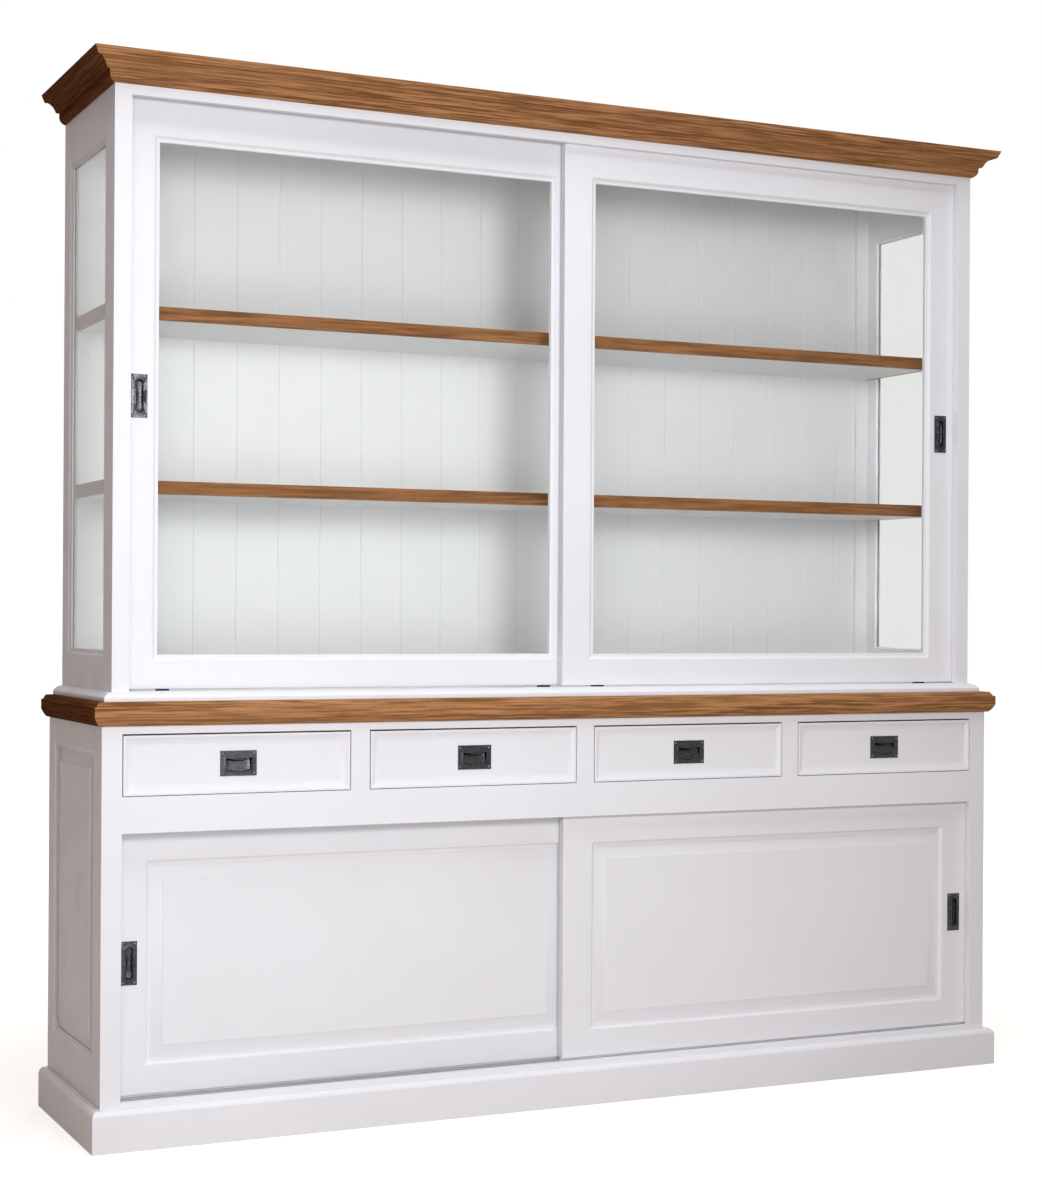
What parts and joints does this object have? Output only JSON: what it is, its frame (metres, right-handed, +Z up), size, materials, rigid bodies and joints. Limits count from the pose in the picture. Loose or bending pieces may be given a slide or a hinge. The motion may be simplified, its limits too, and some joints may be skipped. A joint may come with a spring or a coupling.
{
  "type": "buffet cabinet",
  "caption": "Tall white buffet cabinet with an oak top and cornice: glazed hutch with shelves and sliding doors over a base with drawers and panelled sliding doors.",
  "frame": {"origin": "on the floor under the middle of the cabinet's bounding box", "axes": "front faces -Y, +X to the right as seen from the front, +Z up"},
  "size_m": [2.21, 0.48, 2.2],
  "materials": {
    "white_lacquer": "white satin lacquer on wood",
    "oak": "medium brown oak, satin lacquer",
    "drawer_wood": "pale lacquered wood",
    "pane": "clear flat glass",
    "pull_metal": "antique pewter, half matt",
    "rail_metal": "brushed",
    "steel": "dark bent steel",
    "nylon": "off-white roller plastic"
  },
  "bodies": {
    "cabinet": {"plinth": "white_lacquer", "base_face_frame": "white_lacquer", "base_floor": "white_lacquer", "base_back_panel": "white_lacquer", "base_partition": "white_lacquer", "base_shelves": "white_lacquer", "door_tracks": "white_lacquer", "drawer_divider": "white_lacquer", "hutch_base_molding": "white_lacquer", "hutch_face_frame": "white_lacquer", "hutch_floor": "white_lacquer", "hutch_top": "white_lacquer", "hutch_back_boards": "white_lacquer", "hutch_back_posts": "white_lacquer", "hutch_shelves": "white_lacquer", "drawer_guides": "drawer_wood", "countertop": "oak", "shelf_lippings": "oak", "cornice": "oak", "hutch_roller_rails": "rail_metal", "shelf_pins": "steel", "base_left_side_frame": "white_lacquer", "base_left_side_panel": "white_lacquer", "hutch_left_side_frame": "white_lacquer", "hutch_left_side_glass": "pane", "base_right_side_frame": "white_lacquer", "base_right_side_panel": "white_lacquer", "hutch_right_side_frame": "white_lacquer", "hutch_right_side_glass": "pane"},
    "hutch_left_door": {"hutch_left_door_frame": "white_lacquer", "hutch_left_door_glass": "pane", "hutch_left_door_pull": "pull_metal", "hutch_left_door_housings": "steel"},
    "hutch_left_door_outer_wheel": {"hutch_left_door_outer_roller": "nylon"},
    "hutch_left_door_inner_wheel": {"hutch_left_door_inner_roller": "nylon"},
    "hutch_right_door": {"hutch_right_door_frame": "white_lacquer", "hutch_right_door_glass": "pane", "hutch_right_door_pull": "pull_metal", "hutch_right_door_housings": "steel"},
    "hutch_right_door_outer_wheel": {"hutch_right_door_outer_roller": "nylon"},
    "hutch_right_door_inner_wheel": {"hutch_right_door_inner_roller": "nylon"},
    "base_left_door": {"base_left_door_frame": "white_lacquer", "base_left_door_panel": "white_lacquer", "base_left_door_pull": "pull_metal"},
    "base_right_door": {"base_right_door_frame": "white_lacquer", "base_right_door_panel": "white_lacquer", "base_right_door_pull": "pull_metal"},
    "drawer_1": {"drawer_1_front": "white_lacquer", "drawer_1_box": "drawer_wood", "drawer_1_pull": "pull_metal"},
    "drawer_2": {"drawer_2_front": "white_lacquer", "drawer_2_box": "drawer_wood", "drawer_2_pull": "pull_metal"},
    "drawer_3": {"drawer_3_front": "white_lacquer", "drawer_3_box": "drawer_wood", "drawer_3_pull": "pull_metal"},
    "drawer_4": {"drawer_4_front": "white_lacquer", "drawer_4_box": "drawer_wood", "drawer_4_pull": "pull_metal"}
  },
  "joints": [
    {"name": "hutch_left_door_slide", "type": "slide", "parent": "cabinet", "child": "hutch_left_door", "axis": [1, 0, 0], "range_m": [0, 1.002]},
    {"name": "hutch_right_door_slide", "type": "slide", "parent": "cabinet", "child": "hutch_right_door", "axis": [1, 0, 0], "range_m": [-0.995, 0.007]},
    {"name": "base_left_door_slide", "type": "slide", "parent": "cabinet", "child": "base_left_door", "axis": [1, 0, 0], "range_m": [0, 1.0185]},
    {"name": "base_right_door_slide", "type": "slide", "parent": "cabinet", "child": "base_right_door", "axis": [1, 0, 0], "range_m": [-1.0115, 0.007]},
    {"name": "drawer_1_slide", "type": "slide", "parent": "cabinet", "child": "drawer_1", "axis": [0, -1, 0], "range_m": [0, 0.3]},
    {"name": "drawer_2_slide", "type": "slide", "parent": "cabinet", "child": "drawer_2", "axis": [0, -1, 0], "range_m": [0, 0.3]},
    {"name": "drawer_3_slide", "type": "slide", "parent": "cabinet", "child": "drawer_3", "axis": [0, -1, 0], "range_m": [0, 0.3]},
    {"name": "drawer_4_slide", "type": "slide", "parent": "cabinet", "child": "drawer_4", "axis": [0, -1, 0], "range_m": [0, 0.3]},
    {"name": "hutch_left_door_outer_wheel_spin", "type": "hinge", "parent": "hutch_left_door", "child": "hutch_left_door_outer_wheel", "pos_m": [-0.933, -0.133, 0.9233], "axis": [0, 1, 0], "continuous": true},
    {"name": "hutch_left_door_inner_wheel_spin", "type": "hinge", "parent": "hutch_left_door", "child": "hutch_left_door_inner_wheel", "pos_m": [-0.064, -0.133, 0.9233], "axis": [0, 1, 0], "continuous": true},
    {"name": "hutch_right_door_inner_wheel_spin", "type": "hinge", "parent": "hutch_right_door", "child": "hutch_right_door_inner_wheel", "pos_m": [0.057, -0.159, 0.9233], "axis": [0, 1, 0], "continuous": true},
    {"name": "hutch_right_door_outer_wheel_spin", "type": "hinge", "parent": "hutch_right_door", "child": "hutch_right_door_outer_wheel", "pos_m": [0.926, -0.159, 0.9233], "axis": [0, 1, 0], "continuous": true}
  ],
  "couplings": [
    {"joint": "hutch_left_door_outer_wheel_spin", "follows": "hutch_left_door_slide", "rad_per_m": 100},
    {"joint": "hutch_left_door_inner_wheel_spin", "follows": "hutch_left_door_slide", "rad_per_m": 100},
    {"joint": "hutch_right_door_inner_wheel_spin", "follows": "hutch_right_door_slide", "rad_per_m": 100},
    {"joint": "hutch_right_door_outer_wheel_spin", "follows": "hutch_right_door_slide", "rad_per_m": 100}
  ]
}
